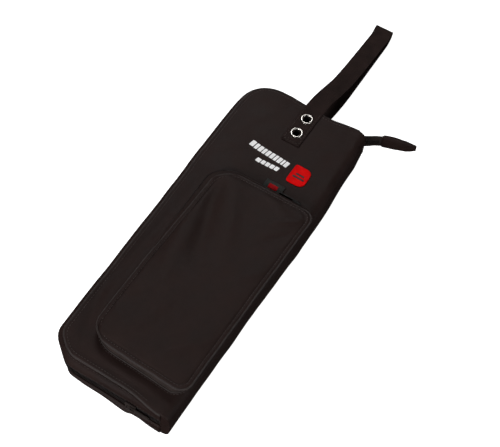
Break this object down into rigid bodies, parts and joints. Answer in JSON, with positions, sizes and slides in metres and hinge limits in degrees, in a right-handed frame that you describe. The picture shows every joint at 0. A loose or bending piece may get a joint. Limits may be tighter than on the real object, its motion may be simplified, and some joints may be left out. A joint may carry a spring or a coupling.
{
  "type": "drum stick bag",
  "caption": "Flat padded fabric case for drum sticks with a zip round three sides, a zipped front pocket and a webbing hanging strap.",
  "frame": {"origin": "middle of the back panel's outer face, on the surface the case lies on", "axes": "+X towards the spine, +Y along the case towards the hanging strap, +Z out of the front with the pocket"},
  "size_m": [0.2124, 0.6572, 0.0591],
  "materials": {
    "outer_fabric": "black coated nylon plain weave, matt with a soft sheen",
    "foam": "grey closed-cell foam padding",
    "lining": "thin black nylon lining",
    "piping": "black woven binding over piping cord",
    "webbing": "black ribbed polypropylene webbing",
    "zip_tape": "black herringbone zip tape",
    "zip_coil": "black nylon coil",
    "slider_metal": "black enamelled zinc",
    "nickel": "bright nickel plate",
    "badge": "red moulded rubber patch",
    "woven_tag": "dark grey woven label"
  },
  "bodies": {
    "back_half": {"back_shell": "outer_fabric", "back_foam": "foam", "back_lining": "lining", "back_piping": "piping", "back_gusset": "outer_fabric", "back_zip_tape": "zip_tape", "back_zip_coil": "zip_coil", "stick_sleeve_1": "lining", "stick_sleeve_1_binding": "piping", "stick_sleeve_2": "lining", "stick_sleeve_2_binding": "piping", "stick_sleeve_3": "lining", "stick_sleeve_3_binding": "piping"},
    "spine": {"spine_shell": "outer_fabric", "spine_foam": "foam", "spine_lining": "lining"},
    "front_half": {"front_shell": "outer_fabric", "front_foam": "foam", "front_lining": "lining", "front_piping": "piping", "front_gusset": "outer_fabric", "front_zip_tape": "zip_tape", "front_zip_coil": "zip_coil", "front_inner_pocket": "lining", "front_inner_pocket_binding": "piping", "strap_anchor": "webbing", "eyelet_upper": "nickel", "eyelet_lower": "nickel", "eyelet_washer_upper": "nickel", "eyelet_washer_lower": "nickel", "badge_patch": "badge", "woven_tag": "woven_tag", "pocket_base_piping": "piping", "pocket_lower_wall": "outer_fabric", "pocket_lower_coil": "zip_coil"},
    "strap": {"strap_loop": "webbing"},
    "pocket_flap": {"pocket_face": "outer_fabric", "pocket_upper_wall": "outer_fabric", "pocket_upper_coil": "zip_coil", "pocket_face_piping": "piping"},
    "zip_tail": {"zip_tail_tape": "zip_tape", "zip_tail_cap": "outer_fabric"},
    "main_slider_body": {"main_slider": "slider_metal", "main_slider_bail": "slider_metal"},
    "main_pull_body": {"main_zip_pull": "slider_metal"},
    "pocket_slider_body": {"pocket_slider": "slider_metal", "pocket_slider_bail": "slider_metal"},
    "pocket_pull_body": {"pocket_zip_pull": "slider_metal"}
  },
  "joints": [
    {"name": "spine_back_fold", "type": "hinge", "parent": "back_half", "child": "spine", "pos_m": [0.07778, 0, 0.00322], "axis": [0, 1, 0], "range_deg": [0, 90]},
    {"name": "spine_front_fold", "type": "hinge", "parent": "spine", "child": "front_half", "pos_m": [0.07778, 0, 0.04078], "axis": [0, 1, 0], "range_deg": [0, 90]},
    {"name": "strap_swing", "type": "hinge", "parent": "front_half", "child": "strap", "pos_m": [0.0035, 0.2215, 0.04495], "axis": [1, 0, 0], "range_deg": [0, 120]},
    {"name": "pocket_flap_hinge", "type": "hinge", "parent": "front_half", "child": "pocket_flap", "pos_m": [0.0135, -0.1995, 0.05], "axis": [1, 0, 0], "range_deg": [0, 120]},
    {"name": "zip_tail_swing", "type": "hinge", "parent": "spine", "child": "zip_tail", "pos_m": [0.0725, 0.229, 0.022], "axis": [0, 0, 1], "range_deg": [-25, 90]},
    {"name": "main_slider_slide", "type": "slide", "parent": "back_half", "child": "main_slider_body", "axis": [1, 0, 0], "range_m": [-0.07, 0.025]},
    {"name": "main_pull_swing", "type": "hinge", "parent": "main_slider_body", "child": "main_pull_body", "pos_m": [0.031, -0.2301, 0.022], "axis": [0, 0, -1], "range_deg": [0, 175]},
    {"name": "pocket_slider_slide", "type": "slide", "parent": "front_half", "child": "pocket_slider_body", "axis": [1, 0, 0], "range_m": [-0.071, 0]},
    {"name": "pocket_pull_swing", "type": "hinge", "parent": "pocket_slider_body", "child": "pocket_pull_body", "pos_m": [0.057, 0.0841, 0.05], "axis": [0, 0, -1], "range_deg": [0, 175]}
  ],
  "couplings": [
    {"joint": "spine_front_fold", "follows": "spine_back_fold", "ratio": 1}
  ]
}
